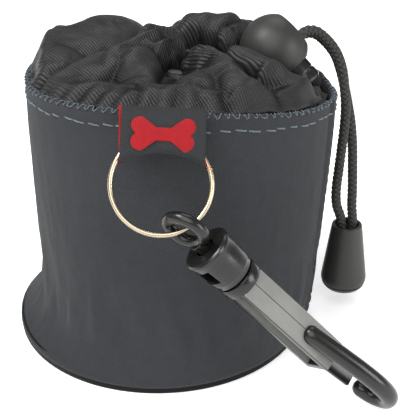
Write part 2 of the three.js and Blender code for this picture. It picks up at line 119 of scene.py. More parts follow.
class PouchCord(PropertyGroup):
    cord: colour("Cord", "Colour of the braided cord", (0.0085, 0.0082, 0.0072))
    diameter: length("Diameter", "Diameter of the braided cord", 2.4)
    plastic: colour("Lock and bell", "Colour of the matte plastic", (0.0185, 0.019, 0.017))


class PouchHook(PropertyGroup):
    plastic: colour("Hook", "Colour of the glossy plastic", (0.0070, 0.0070, 0.0065))
    nickel: colour("Ring", "Colour of the plated wire", (0.48, 0.40, 0.29))
    ribbon: colour("Ribbon", "Colour of the woven label", (0.018, 0.020, 0.022))
    emblem: colour("Emblem", "Colour of the sewn bone and of the ribbon's reverse", (0.29, 0.004, 0.008))


# ---------- shader sums ----------
def plug(tree, slot, value):
    if isinstance(value, Wire):
        tree.links.new(value.socket, slot)
    else:
        slot.default_value = value


class Wire:
    """A node's output that takes part in ordinary sums."""

    def __init__(self, tree, socket):
        self.tree = tree
        self.socket = socket

    def maths(self, operation, *terms):
        node = self.tree.nodes.new("ShaderNodeMath")
        node.operation = operation
        for slot, term in zip(node.inputs, terms):
            plug(self.tree, slot, term)
        return Wire(self.tree, node.outputs[0])

    def __add__(self, other):
        return self.maths("ADD", self, other)

    def __sub__(self, other):
        return self.maths("SUBTRACT", self, other)

    def __rsub__(self, other):
        return self.maths("SUBTRACT", other, self)

    def __mul__(self, other):
        return self.maths("MULTIPLY", self, other)

    __radd__ = __add__
    __rmul__ = __mul__

    def sine(self):
        return self.maths("SINE", self)

    def larger(self, other):
        return self.maths("MAXIMUM", self, other)


class Finish:
    """A material built round one Principled shader."""

    def __init__(self, name, base, roughness, fixed=()):
        self.material = bpy.data.materials.new(name)
        self.material.use_nodes = True
        self.tree = self.material.node_tree
        self.shader = self.tree.nodes["Principled BSDF"]
        self.base = (*base, 1)
        self.feed("Base Color", self.base)
        self.feed("Roughness", roughness)
        for socket, value in dict(fixed).items():
            self.feed(socket, value)

    def feed(self, socket, value):
        plug(self.tree, self.shader.inputs[socket], value)

    def node(self, kind, inputs=(), output=0, **settings):
        node = self.tree.nodes.new("ShaderNode" + kind)
        for key, value in settings.items():
            setattr(node, key, value)
        for key, value in dict(inputs).items():
            plug(self.tree, node.inputs[key], value)
        return Wire(self.tree, node.outputs[output])

    def where(self, kind="Object"):
        return self.node("TexCoord", output=kind)

    def along(self, place, direction):
        return self.node("VectorMath", {0: place, 1: direction}, "Value", operation="DOT_PRODUCT")

    def noise(self, place, scale, detail=2.0):
        return self.node("TexNoise", {"Vector": place, "Scale": scale, "Detail": detail})

    def stripes(self, place, direction):
        """Even stripes across a direction, 0 to 1, whose length sets their pitch."""
        return self.along(place, direction).sine() * 0.5 + 0.5

    def tint(self, factor, dark, light):
        """The base colour times a factor that runs from dark to light."""
        ends = [tuple(min(1, c * k) for c in self.base[:3]) + (1,) for k in (dark, light)]
        mixed = self.node("Mix", {0: factor, 6: ends[0], 7: ends[1]}, 2, data_type="RGBA")
        self.feed("Base Color", mixed)

    def bump(self, height, distance, strength=1.0):
        inputs = {"Height": height, "Distance": distance, "Strength": strength}
        self.feed("Normal", self.node("Bump", inputs))


def brushed_cloth(name, base):
    soft = {"Specular IOR Level": 0.12, "Sheen Weight": 0.05, "Sheen Roughness": 0.5}
    finish = Finish(name, base, 0.92, soft)
    place = finish.where()
    uv = finish.where("UV")
    warp = finish.along(uv, (TURN / 0.00055, 0, 0)).sine()
    weft = finish.along(uv, (0, TURN / 0.00055, 0)).sine()
    fuzz = finish.noise(place, 2600, 3)
    mottle = finish.noise(place, 420, 3)
    cloud = finish.noise(place, 38, 3)
    weave = warp * weft
    finish.tint(fuzz * 0.55 + mottle * 0.3 + cloud * 0.35 + weave * 0.06 - 0.1, 0.62, 1.42)
    finish.feed("Roughness", 0.8 + fuzz * 0.2)
    finish.bump(fuzz * 0.7 + weave * 0.3 + mottle * 0.8, 0.00012, 0.6)
    return finish.material


def nylon_twill(name, base, kind="Object", directions=((1.0, 0.5, 0.95), (-1.2, 0.4, 1.1))):
    """Shiny twill; its weave runs along two directions of the piece or of its own cloth."""
    finish = Finish(name, base, 0.4, {"Specular IOR Level": 0.26})
    place = finish.where()
    weave_place = finish.where(kind)
    wander = finish.noise(place, 260, 2) * 1.6
    pitch = TURN / 0.00092
    line, cross = [(finish.along(weave_place, tuple(pitch * d for d in direction)) + wander).sine()
                   for direction in directions]
    ribs = line * 0.5 + 0.5
    nubs = cross * 0.5 + 0.5
    grain = finish.noise(place, 3200, 2)
    worn = finish.noise(place, 140, 3)
    # painted shade in the creases and painted light on the crests, from the fold attribute
    painted_fold_shade = finish.node("Attribute", output="Fac", attribute_name="fold")
    weave = ribs * (0.45 + nubs * 0.55) * 0.8 + grain * 0.15 + worn * 0.15
    finish.tint(weave * (1 + painted_fold_shade * 1.3).larger(0.1), 0.1, 4.8)
    finish.feed("Roughness", 0.5 - ribs * 0.16 + grain * 0.05)
    finish.bump(ribs * (0.6 + nubs * 0.4) + grain * 0.15, 0.00014, 0.8)
    return finish.material


def sewing_thread(name, base):
    finish = Finish(name, base, 0.6, {"Sheen Weight": 0.3})
    place = finish.where()
    twist = finish.stripes(place, (9000, 6000, 12000))
    shade = finish.noise(place, 500, 2)
    finish.tint(twist * 0.4 + shade * 0.6, 0.55, 1.6)
    finish.bump(twist, 0.00006, 0.6)
    return finish.material


def coated_cloth(name, base):
    finish = Finish(name, base, 0.55, {"Specular IOR Level": 0.1})
    place = finish.where()
    rib = finish.stripes(place, (0, 0, TURN / 0.0006))
    pebble = finish.noise(place, 1500, 3)
    finish.tint(pebble * 0.7 + rib * 0.3, 0.6, 1.7)
    finish.feed("Roughness", 0.45 + pebble * 0.3)
    finish.bump(rib * 0.5 + pebble * 0.6, 0.00008, 0.6)
    return finish.material


def braided_cord(name, base):
    soft = {"Specular IOR Level": 0.35, "Sheen Weight": 0.05, "Sheen Roughness": 0.4}
    finish = Finish(name, base, 0.5, soft)
    place = finish.where()
    uv = finish.where("UV")
    fibre = finish.noise(place, 3800, 3)
    patch = finish.noise(place, 600, 2)
    twist = finish.stripes(uv, (TURN / 0.00028, TURN / 0.00062, 0))
    # painted shade in the braid's grooves and painted light on its ridges, from the fold attribute
    painted_fold_shade = finish.node("Attribute", output="Fac", attribute_name="fold")
    finish.tint((fibre * 0.5 + patch * 0.3 + twist * 0.2) * (1 + painted_fold_shade * 1.1).larger(0.1), 0.1, 3.6)
    finish.feed("Roughness", 0.42 + fibre * 0.3)
    finish.bump(fibre * 0.5 + twist * 0.5, 0.00008, 0.8)
    return finish.material


def moulded_plastic(name, base, roughness, grain, fixed=()):
    finish = Finish(name, base, roughness, fixed)
    place = finish.where()
    skin = finish.noise(place, 2400, 2)
    flow = finish.noise(place, 120, 3)
    rubbed = finish.noise(place, 700, 4)
    finish.tint(flow * 0.7 + rubbed * 0.3, 0.7, 1.5)
    finish.feed("Roughness", roughness - 0.08 + flow * 0.1 + rubbed * 0.08)
    finish.bump(skin * 0.7 + flow * 0.5, grain, 0.5)
    return finish.material


def plated_wire(name, base):
    finish = Finish(name, base, 0.2, {"Metallic": 1.0})
    place = finish.where()
    haze = finish.noise(place, 300, 3)
    scratch = finish.noise(place, 4000, 2)
    finish.tint(haze, 0.8, 1.12)
    finish.feed("Roughness", 0.17 + haze * 0.12 + scratch * 0.06)
    finish.bump(scratch, 0.00002, 0.3)
    return finish.material


def woven_ribbon(name, base):
    finish = Finish(name, base, 0.7, {"Specular IOR Level": 0.2})
    uv = finish.where("UV")
    twill = finish.stripes(uv, (TURN / 0.00055, TURN / 0.0005, 0))
    ends = finish.stripes(uv, (TURN / 0.00027, 0, 0))
    grain = finish.noise(finish.where(), 1800, 3)
    finish.tint(twill * (0.5 + ends * 0.5) * 0.7 + grain * 0.35, 0.45, 1.9)
    finish.bump(twill * 0.7 + ends * 0.3, 0.00008, 0.8)
    return finish.material


def satin_stitch(name, base):
    finish = Finish(name, base, 0.5, {"Specular IOR Level": 0.2, "Sheen Weight": 0.03})
    place = finish.where()
    strands = finish.stripes(place, (TURN / 0.00042, 0, TURN / 0.0006))
    shade = finish.noise(place, 900, 3)
    finish.tint(strands * 0.6 + shade * 0.4, 0.55, 1.35)
    finish.bump(strands * 0.8 + shade * 0.3, 0.0001, 0.8)
    return finish.material


FINISHES = {}


def finish_of(slot):
    """Each finish is made once, from the colours in the panel."""
    if not FINISHES:
        scene = bpy.context.scene
        cloth, cord, hook = scene.pouch_cloth, scene.pouch_cord, scene.pouch_hook
        satin = {"Specular IOR Level": 0.38, "Coat Weight": 0.08, "Coat Roughness": 0.25}
        FINISHES.update(
            wall_cloth=brushed_cloth("wall_cloth", cloth.wall),
            nylon=nylon_twill("nylon_twill", cloth.nylon),
            collar_nylon=nylon_twill("collar_twill", cloth.nylon, "UV",
                                     ((1.15, 0.85, 0), (-0.85, 1.15, 0))),
            rim_thread=sewing_thread("rim_thread", cloth.thread),
            base_cloth=coated_cloth("base_cloth", cloth.base),
            board=coated_cloth("grey_board", (0.25, 0.19, 0.12)),
            cord=braided_cord("braided_cord", cord.cord),
            matte_plastic=moulded_plastic("matte_plastic", cord.plastic, 0.46, 0.00006,
                                          {"Specular IOR Level": 0.42}),
            gloss_plastic=moulded_plastic("gloss_plastic", hook.plastic, 0.24, 0.00003, satin),
            # a lighter copy of the hook's plastic: a painted reflection of a lamp on the bar's flat faces
            ground_plastic=moulded_plastic("ground_plastic", [min(1, c * BAR_PAINTED_REFLECTION) for c in hook.plastic],
                                           0.5, 0.00008),
            nickel=plated_wire("warm_nickel", hook.nickel),
            spring_steel=plated_wire("spring_steel", (0.45, 0.45, 0.46)),
            label_ribbon=woven_ribbon("label_ribbon", hook.ribbon),
            label_reverse=satin_stitch("label_reverse", hook.emblem),
            emblem=satin_stitch("emblem_thread", hook.emblem),
            cut_copper=plated_wire("cut_copper", (0.62, 0.32, 0.16)),
        )
    return FINISHES[slot]


# ---------- modelling helpers ----------
def add_object(name, data):
    made = bpy.data.objects.new(name, data)
    bpy.context.scene.collection.objects.link(made)
    return made


def object_mode():
    if bpy.context.mode != "OBJECT":
        bpy.ops.object.mode_set(mode="OBJECT")
    bpy.ops.object.select_all(action="DESELECT")


def alone(piece):
    object_mode()
    piece.select_set(True)
    bpy.context.view_layer.objects.active = piece
    return piece


def edit(piece, *steps):
    """Runs edit-mode steps on all of a piece."""
    alone(piece)
    bpy.ops.object.mode_set(mode="EDIT")
    bpy.ops.mesh.select_all(action="SELECT")
    for step in steps:
        step()
    bpy.ops.object.mode_set(mode="OBJECT")
    return piece


def modify(piece, kind, **settings):
    alone(piece)
    modifier = piece.modifiers.new(kind.title(), kind)
    for key, value in settings.items():
        setattr(modifier, key, value)
    bpy.ops.object.modifier_apply(modifier=modifier.name)
    return piece


def close_up(piece):
    """Merges doubles, fills open ends and turns every face outwards."""
    return edit(
        piece,
        lambda: bpy.ops.mesh.remove_doubles(threshold=0.002 * MM),
        lambda: bpy.ops.mesh.fill_holes(sides=0),
        lambda: bpy.ops.mesh.select_all(action="SELECT"),
        lambda: bpy.ops.mesh.normals_make_consistent(inside=False),
    )


def smooth(piece, angle=35):
    alone(piece)
    bpy.ops.object.shade_smooth_by_angle(angle=math.radians(angle))
    return piece


def bevel(piece, width, segments=2, angle=30):
    return modify(piece, "BEVEL", width=width * MM, segments=segments, limit_method="ANGLE",
                  angle_limit=math.radians(angle))


def cloth_grid(name, across, up, flat, shape, joined=True):
    """Cloth of a flat size in millimetres, bent by shape(u, v), which gives millimetres."""
    object_mode()
    bpy.ops.mesh.primitive_grid_add(x_subdivisions=across, y_subdivisions=up, size=1)
    piece = bpy.context.object
    piece.name = name
    for loop in piece.data.uv_layers.active.data:
        loop.uv = (loop.uv.x * flat[0] * MM, loop.uv.y * flat[1] * MM)
    for vertex in piece.data.vertices:
        vertex.co = Vector(shape(vertex.co.x + 0.5, vertex.co.y + 0.5)) * MM
    if joined:
        edit(piece, lambda: bpy.ops.mesh.remove_doubles(threshold=0.002 * MM))
    alone(piece)
    bpy.ops.object.shade_smooth()
    return piece


def spun(name, profile, steps=56, place=Matrix()):
    """A turned piece from [radius, height] points, closed on itself or on the axis."""
    object_mode()
    mesh = bpy.data.meshes.new(name)
    points = [(r * MM, 0, z * MM) for r, z in profile]
    edges = [(i, i + 1) for i in range(len(points) - 1)]
    if profile[0][0] > 0 or profile[-1][0] > 0:
        edges.append((len(points) - 1, 0))
    mesh.from_pydata(points, edges, [])
    piece = add_object(name, mesh)
    edit(piece, lambda: bpy.ops.mesh.spin(steps=steps, angle=TURN, center=(0, 0, 0), axis=(0, 0, 1)))
    close_up(piece)
    mesh.transform(place)
    return piece


def block(name, low, high):
    """A box between two corners in millimetres."""
    object_mode()
    low, high = Vector(low) * MM, Vector(high) * MM
    bpy.ops.mesh.primitive_cube_add(size=1, location=(low + high) / 2)
    piece = bpy.context.object
    piece.name = name
    piece.scale = high - low
    bpy.ops.object.transform_apply()
    return piece


def wire(name, lines, radius, sides=8, closed=False, radii=None):
    """Round wire along lists of points in millimetres, as one mesh."""
    object_mode()
    curve = bpy.data.curves.new(name, "CURVE")
    curve.dimensions = "3D"
    curve.bevel_depth = radius * MM
    curve.bevel_resolution = sides // 2 - 2
    curve.use_fill_caps = not closed
    for line in lines:
        spline = curve.splines.new("POLY")
        spline.points.add(len(line) - 1)
        spline.use_cyclic_u = closed
        for i, point in enumerate(line):
            spline.points[i].co = (*(Vector(point) * MM), 1)
            spline.points[i].radius = radii[i] if radii else 1
    piece = add_object(name, curve)
    alone(piece)
    bpy.ops.object.convert(target="MESH")
    piece = bpy.context.object
    close_up(piece)
    bpy.ops.object.shade_smooth()
    return piece


def carve(piece, tool, operation="DIFFERENCE"):
    """Cuts a tool piece out of another, or joins the two into one solid."""
    modify(piece, "BOOLEAN", object=tool, operation=operation, solver="EXACT")
    bpy.data.objects.remove(tool)
    return piece


def done(piece, body, slot, *nodes):
    """Gives a finished piece its finish, the body it rides on and the nodes it stands for."""
    if not piece.data.materials:
        piece.data.materials.append(finish_of(slot))
    if body:
        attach(piece, body)
    if nodes:
        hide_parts(*nodes)
    return piece


def basis(x, y, z, origin):
    """The matrix of a frame whose axes and origin (in millimetres) are given."""
    matrix = Matrix((x, y, z)).transposed().to_4x4()
    matrix.translation = Vector(origin) * MM
    return matrix


def smoothstep(value, low, high):
    share = min(1, max(0, (value - low) / (high - low)))
    return share * share * (3 - 2 * share)


def through(points, steps):
    """Points evenly spread along a smooth line through given points."""
    points = [Vector(p) for p in points]
    ends = [2 * points[0] - points[1], *points, 2 * points[-1] - points[-2]]
    fine = []
    for i in range(len(points) - 1):
        a, b, c, d = ends[i:i + 4]
        for k in range(12):
            t = k / 12
            fine.append(0.5 * (2 * b + (c - a) * t + (2 * a - 5 * b + 4 * c - d) * t ** 2
                               + (3 * b - a - 3 * c + d) * t ** 3))
    fine.append(points[-1])
    travelled = [0]
    for i in range(1, len(fine)):
        travelled.append(travelled[-1] + (fine[i] - fine[i - 1]).length)
    out = []
    k = 0
    for i in range(steps + 1):
        goal = travelled[-1] * i / steps
        while k < len(fine) - 2 and travelled[k + 1] < goal:
            k += 1
        share = (goal - travelled[k]) / (travelled[k + 1] - travelled[k])
        out.append(fine[k].lerp(fine[k + 1], share))
    return out, travelled[-1]


def carried_frames(line):
    """Side and up vectors along a line, turned as little as possible."""
    frames = []
    side = Vector((0, 1, 0))
    for i, point in enumerate(line):
        ahead = line[min(i + 1, len(line) - 1)] - line[max(i - 1, 0)]
        ahead.normalize()
        side = (side - ahead * side.dot(ahead)).normalized()
        frames.append((point, side, ahead.cross(side)))
    return frames


# ---------- shapes of the bag ----------
def wall_radius(z):
    return 32.8 + 2.4 * math.exp(-max(0, z - 2.6) / 4) + 1.5 * z / 60


def rim_rise(angle):
    front = max(0, -math.sin(angle)) ** 2
    back = max(0, math.sin(angle)) ** 2
    return 4.5 * front + 1.5 * back - 2.25 * (1 + math.cos(angle))


def on_bag(radius, angle, z):
    """A point round the bag, with its lean, its oval mouth and its wavy rim."""
    height = min(z / WALL_HEIGHT, 1)
    x = radius * math.cos(angle) + 4 * (1 - math.exp(-max(0, z - 2.6) / 4.5)) + 1.2 * height ** 2
    y = radius * math.sin(angle) * (1 - 0.07 * height)
    return Vector((x, y, z + rim_rise(angle) * height ** 2))


def cloth_ripple(angle, z):
    """Soft waves, creases and the side seam of the wall, in millimetres of radius."""
    high = z / WALL_HEIGHT
    low_folds = math.exp(-((z - 14) / 8) ** 2)
    wave = 0.3 * math.sin(3 * angle + 0.8 + 2 * high) + 0.18 * math.sin(7 * angle - 3 * high)
    dent = 0.3 * math.exp(-((angle - 3.3) / 0.5) ** 2) * low_folds
    crease = 0.35 * math.sin(11 * angle + 5 * high) * low_folds
    seam = 0.75 * smoothstep(angle, SEAM_ANGLE - 0.012, SEAM_ANGLE + 0.012)
    seam *= 1 - smoothstep(angle, SEAM_ANGLE + 0.15, SEAM_ANGLE + 0.5)
    slant = Vector((9 * math.cos(angle), 9 * math.sin(angle), high * 5 + angle))
    slant = 0.5 * noise.noise(slant) + 0.22 * noise.noise(2.3 * slant)
    fade = min(1, high * 6) * (1 - high ** 6)
    return (wave - dent + crease + slant * (0.4 + low_folds)) * fade + seam


class POUCH_OT_wall(Operator):
    """Brushed wall with its raw rim, the base edging and the linings"""
    bl_idname = "pouch.wall"
    bl_label = "Wall and base"

    def execute(self, context):
        cloth = context.scene.pouch_cloth

        def wall(u, v):
            angle = TURN * u
            z = WALL_FOOT + (WALL_HEIGHT - WALL_FOOT) * v
            fray = 0.6 * noise.noise(Vector((u * 150, 0.3, 0))) + 0.35 * noise.noise(Vector((u * 420, 2, 0)))
            fray *= smoothstep(v, 0.965, 1)
            radius = wall_radius(z) + cloth_ripple(angle, z)
            return on_bag(radius, angle, z) + Vector((0, 0, fray))

        piece = cloth_grid("outer_wall_cloth", 360, 76, (215, 62), wall)
        modify(piece, "SOLIDIFY", thickness=cloth.wall_thickness, offset=-1)
        done(piece, "bag", "wall_cloth", "outer_wall")

        edging = spun("base_edging_tape", [
            [34.2, 0], [34.7, 0], [35, 0.35], [35.05, 1.5], [34.95, 2.7], [34.7, 3.05], [34.25, 3.1],
        ], 160)
        done(smooth(edging, 60), "bag", "base_cloth", "base_edging")
        for node, slot in (("base_panel", "base_cloth"), ("base_stiffener", "board"),
                           ("base_lining", "nylon"), ("wall_lining", "nylon")):
            refinish(node, slot)
        return {"FINISHED"}


def refinish(node, slot):
    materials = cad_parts[node].data.materials
    materials.clear()
    materials.append(finish_of(slot))


def on_rim(angle, drop, out):
    """A point on the wall's outer face, drop below the raw edge and out from the face."""
    z = WALL_HEIGHT - drop
    return on_bag(wall_radius(z) + cloth_ripple(angle, z) + out, angle, z)


class POUCH_OT_stitches(Operator):
    """Overlock along the raw rim, the running stitch under it and the side seam's stitch"""
    bl_idname = "pouch.stitches"
    bl_label = "Stitches"

    def execute(self, context):
        drop = context.scene.pouch_cloth.stitch_drop / MM
        line = []
        for i in range(OVERLOCK_TURNS):
            start = TURN * i / OVERLOCK_TURNS
            step = TURN / OVERLOCK_TURNS
            wander = 0.9 * noise.noise(Vector((i * 0.7, 0, 0)))
            step *= 1 + 0.5 * noise.noise(Vector((i * 1.3, 4, 0)))
            for share, below, out in ((0, 0.42 + 0.7 * wander, 0.1), (0.2, 0.2, 0.2), (0.32, -0.28, -0.3),
                                      (0.5, -0.22, -1), (0.62, 0.5, -1.25), (0.8, -0.25, -0.6),
                                      (0.93, 0.15, 0.2)):
                line.append(on_rim(start + share * step, below, out))
        overlock = wire("rim_overlock_thread", [line], 0.1, 6, closed=True)
        done(overlock, "bag", "rim_thread", "rim_overlock")

        stitches = []
        for i in range(RUNNING_STITCHES):
            start = TURN * (i + 0.12 * math.sin(i * 2.4)) / RUNNING_STITCHES
            span = TURN / RUNNING_STITCHES * (0.7 + 0.08 * math.sin(i * 5.1))
            low = drop + 0.18 * math.sin(i * 1.7)
            stitches.append([
                on_rim(start + span * k / 5, low + 0.2 * k / 5, 0.16 * math.sin(math.pi * k / 5) - 0.02)
                for k in range(6)
            ])
        running = wire("rim_running_stitch", stitches, 0.17, 6)
        done(running, "bag", "rim_thread")

        seam = []
        for i in range(SEAM_STITCHES):
            top = 6 + 2.55 * i
            seam.append([on_rim(SEAM_ANGLE + 0.05, top + 1.8 * k / 3, 0.07 * math.sin(math.pi * k / 3))
                         for k in range(4)])
        side = wire("side_seam_stitch", seam, 0.12, 6)
        done(side, "bag", "base_cloth")
        return {"FINISHED"}


# Puffs of the collar: the ends of each crest line, its reach to the left and right, and its depth.
COLLAR_PUFFS = (
    ((-20, -1, 69.5), (-12, 8, 72.3), 10, 10, 9),
    ((-26, -5, 68), (-22.5, 7, 70.4), 8.5, 8.5, 6),
    ((-12, 8, 72.3), (-8.5, 10, 71.6), 8, 8, 8),
    ((-1.4, -0.5, 73), (-8, -5.5, 70.6), 8, 2.6, 7),
    ((-8, -5.5, 70.6), (-21, -12.5, 67), 8, 3, 6),
    ((-1.4, -0.5, 73), (2.5, -3, 70.8), 3, 4, 8),
    ((-2.8, -8, 71), (-3.5, -17, 68.3), 4.5, 6, 6),
    ((-7, -24.5, 66.6), (1, -24.5, 67.3), 4, 5, 4),
    ((1, -24.5, 67.3), (9, -20, 68.8), 4.5, 5, 5),
    ((9, -20, 68.8), (13, -13, 70), 4, 4, 6),
    ((10.8, -7.5, 71.2), (14, -16, 70.6), 2.6, 5.5, 8),
    ((14, -16, 70.6), (18.5, -24, 68.8), 3, 6, 7),
    ((18.5, -24, 68.8), (24, -27.5, 66), 4, 5, 5),
    ((17, -6.5, 70), (24, -13, 69.4), 4.6, 2.5, 7),
    ((24, -13, 69.4), (30, -15.5, 66), 3.6, 3.5, 6),
    ((30, -15.5, 66), (26, -22, 65.6), 4, 4, 4),
    ((5, 10, 69.6), (9.5, 11, 72.7), 4, 4, 8),
    ((9.5, 11, 72.7), (16, 10.5, 72.2), 4.6, 4, 8),
    ((17.5, 9, 70.8), (21.5, 13, 69.5), 4.6, 4.6, 6),
    ((-6, 19, 66), (-14, 19, 67.5), 6, 6, 4),
    ((-20, 17, 68), (-27, 8, 66.8), 6, 6, 5),
    ((8, 24, 67.3), (16, 22, 67.3), 5, 5, 5),
    ((22, 18, 68), (29, 9, 65), 5, 5, 5),
)


def blended_top(a, b, width):
    """The higher of two heights, with the crease between them rounded."""
    overlap = max(width - abs(a - b), 0) / width
    return max(a, b) + overlap * overlap * width / 4


def puff(x, y, start, end, left, right, depth):
    a, b, p = Vector(start[:2]), Vector(end[:2]), Vector((x, y))
    line, from_start = b - a, p - a
    share = min(1, max(0, from_start.dot(line) / line.length_squared))
    side = line.x * from_start.y - line.y * from_start.x
    reach = left + (right - left) * smoothstep(-side / line.length, -1, 1)
    away = (from_start - line * share).length / reach
    if away >= 1:
        return 0
    return start[2] + (end[2] - start[2]) * share - depth * (1 - (1 - away ** 2.2) ** 0.45)


# Where the ball (0) and its button (5 to 8) can be, each at the start, middle and end of the slide.
LOCK_SPOTS = [(slide, k) for slide in (0, 1.5, 3) for k in (0, 5, 6, 7, 8)]


def under_lock(x, y):
    """The highest that cloth can lie under the ball and its plunger."""
    lowest = 200
    for slide, k in LOCK_SPOTS:
        centre = LOCK_CENTRE + CORD_AXIS * slide + PLUNGER_AXIS * 11.3 * k / 8
        radius = 8.1 if k == 0 else 4.5
        away = math.hypot(x - centre.x, y - centre.y)
        if away < radius:
            lowest = min(lowest, centre.z - math.sqrt(radius ** 2 - away ** 2) - 0.6)
    return lowest


def collar_height(x, y, angle, share):
    """Height of the gathered cloth over a point of the mouth, in millimetres."""
    dx, dy = x - SWIRL[0], y - SWIRL[1]
    reach = math.hypot(dx, dy)
    turn = math.atan2(dy, dx) + 1.5 * math.exp(-reach / 6)
    sway = noise.noise(Vector((x / 9, y / 9, 6.3)))
    lean = noise.noise(Vector((x / 9, y / 9, 9.1)))
    level = WALL_HEIGHT + rim_rise(angle) + 1 + 2.2 * math.sin(math.pi * min(1, share / 0.45))
    height = level + (64.8 - level) * smoothstep(share, 0.1, 0.6)
    for fold in COLLAR_PUFFS:
        height = blended_top(height, puff(x + 1.5 * sway, y + 1.5 * lean, *fold), 0.9)
    pleat = 1 - 2 * abs(math.cos(6 * turn + 1.2 * math.sin(2 * turn) + 0.7)) ** 0.6
    height += 0.9 * pleat * math.exp(-((reach - 5) / 4) ** 2)
    pull = math.sin(15 * turn + 0.35 * reach + 3 * sway)
    height += 0.3 * pull * math.exp(-((reach - 11) / 8) ** 2)
    height -= 1.5 * math.exp(-(reach / 2.2) ** 2)
    broad = 0.35 * noise.noise(Vector((x / 5, y / 5, 1.7)))
    fine = 0.1 * noise.noise(Vector((x / 1.8, y / 1.8, 4.1)))
    return height + broad + fine


def collar_point(u, v):
    angle = TURN * u
    share = max(0, (v - 0.1) / 0.9)
    foot = on_bag(32.5, angle, 58)
    rim = on_bag(33.2, angle, 63)
    swirl = Vector((*SWIRL, 66))
    inward = share ** 0.92
    edge = foot.lerp(rim, min(1, v / 0.1))
    x = edge.x + (swirl.x + 0.7 * math.cos(angle) - edge.x) * inward
    y = edge.y + (swirl.y + 0.7 * math.sin(angle) - edge.y) * inward
    z = collar_height(x, y, angle, share)
    z = edge.z + (z - edge.z) * smoothstep(share, -0.03, 0.09)
    pucker = 0.28 * math.sin(41 * angle + 2 * math.sin(3 * angle)) * math.exp(-(share / 0.12) ** 2)
    z = min(z + pucker, under_lock(x, y))
    return Vector((x, y, z))


def crumple(piece, held):
    """Lets cloth that is a little too long buckle, with its held points and its travel limited."""
    mesh = piece.data
    for vertex in mesh.vertices:
        vertex.co *= CRUMPLE_SCALE
    before = [vertex.co.copy() for vertex in mesh.vertices]
    group = piece.vertex_groups.new(name="held")
    for vertex in mesh.vertices:
        group.add([vertex.index], held(vertex.co / (CRUMPLE_SCALE * MM)), "REPLACE")
    modifier = alone(piece).modifiers.new("Cloth", "CLOTH")
    settings = modifier.settings
    settings.quality = 5
    settings.mass = 0.1
    settings.tension_stiffness = 15
    settings.compression_stiffness = 15
    settings.shear_stiffness = 6
    settings.bending_stiffness = 0.4
    settings.air_damping = 3
    settings.shrink_min = -CRUMPLE_SLACK
    settings.vertex_group_mass = group.name
    settings.effector_weights.gravity = 0
    modifier.collision_settings.use_collision = False
    modifier.point_cache.frame_end = CRUMPLE_FRAMES
    scene = bpy.context.scene
    first = scene.frame_current
    for step in range(1, CRUMPLE_FRAMES + 1):
        scene.frame_set(step)
    shaped = piece.evaluated_get(bpy.context.evaluated_depsgraph_get()).data
    after = [vertex.co.copy() for vertex in shaped.vertices]
    piece.modifiers.remove(modifier)
    piece.vertex_groups.clear()
    scene.frame_set(first)
    for vertex, old, new in zip(mesh.vertices, before, after):
        move = (new - old) / CRUMPLE_SCALE
        if move.length > CRUMPLE_TRAVEL * MM:
            move *= CRUMPLE_TRAVEL * MM / move.length
        vertex.co = old / CRUMPLE_SCALE + move
    return piece


def mark_folds(piece, rounds, depth, upward):
    """Stores how far each point stands out of the cloth round it, -1 in a crease to 1 on a crest; the
    finishes turn it into painted shade in the creases and painted light on the crests.
    """
    mesh = piece.data
    level = [vertex.co.copy() for vertex in mesh.vertices]
    pairs = [tuple(edge.vertices) for edge in mesh.edges]
    for _ in range(rounds):
        total = [Vector() for _ in level]
        count = [0] * len(level)
        for a, b in pairs:
            total[a] += level[b]
            total[b] += level[a]
            count[a] += 1
            count[b] += 1
        level = [t / n for t, n in zip(total, count)]
    fold = mesh.attributes.new("fold", "FLOAT", "POINT")
    for vertex, flat, value in zip(mesh.vertices, level, fold.data):
        out = -vertex.normal if upward and vertex.normal.z < 0 else vertex.normal
        value.value = max(-1, min(1, (vertex.co - flat).dot(out) / (depth * MM)))


def collar_held(point):
    """1 where the collar is sewn, drawn together or lies under the lock, 0 where it is free."""
    away = math.hypot(point.x - 1.3, point.y)
    sewn = smoothstep(away, 28.5, 31)
    drawn = 1 - smoothstep(math.hypot(point.x - SWIRL[0], point.y - SWIRL[1]), 2, 4)
    return max(sewn, drawn, 1 if under_lock(point.x, point.y) < 100 else 0)


class POUCH_OT_collar(Operator):
    """Gathered twill collar that closes to a swirl"""
    bl_idname = "pouch.collar"
    bl_label = "Collar"

    def execute(self, context):
        piece = cloth_grid("gathered_collar", 200, 88, COLLAR_FLAT, collar_point)
        crumple(piece, collar_held)
        for vertex in piece.data.vertices:
            x, y, z = vertex.co / MM
            over_loop = 65.2 - 4 * smoothstep(math.hypot(x - SWIRL[0], y - SWIRL[1]), 7.5, 10)
            vertex.co.z = min(max(z, over_loop if z > 60 else z), under_lock(x, y)) * MM
        # the fold values drive painted shade in the creases and painted light on the crests
        mark_folds(piece, 16, 0.4, True)
        for loop in piece.data.uv_layers.active.data:
            angle, inward = TURN * loop.uv.x / (COLLAR_FLAT[0] * MM), loop.uv.y / (COLLAR_FLAT[1] * MM)
            reach = (42 * (1 - inward) + 0.7) * MM
            loop.uv = (reach * math.cos(angle), reach * math.sin(angle))
        modify(piece, "SUBSURF", levels=1, render_levels=1)
        modify(piece, "SOLIDIFY", thickness=context.scene.pouch_cloth.collar_thickness, offset=-1)
        piece.data.materials.append(finish_of("collar_nylon"))
        done(piece, "bag", "nylon", "collar", "drawstring_tunnel")
        refinish("drawstring_loop", "cord")
        return {"FINISHED"}


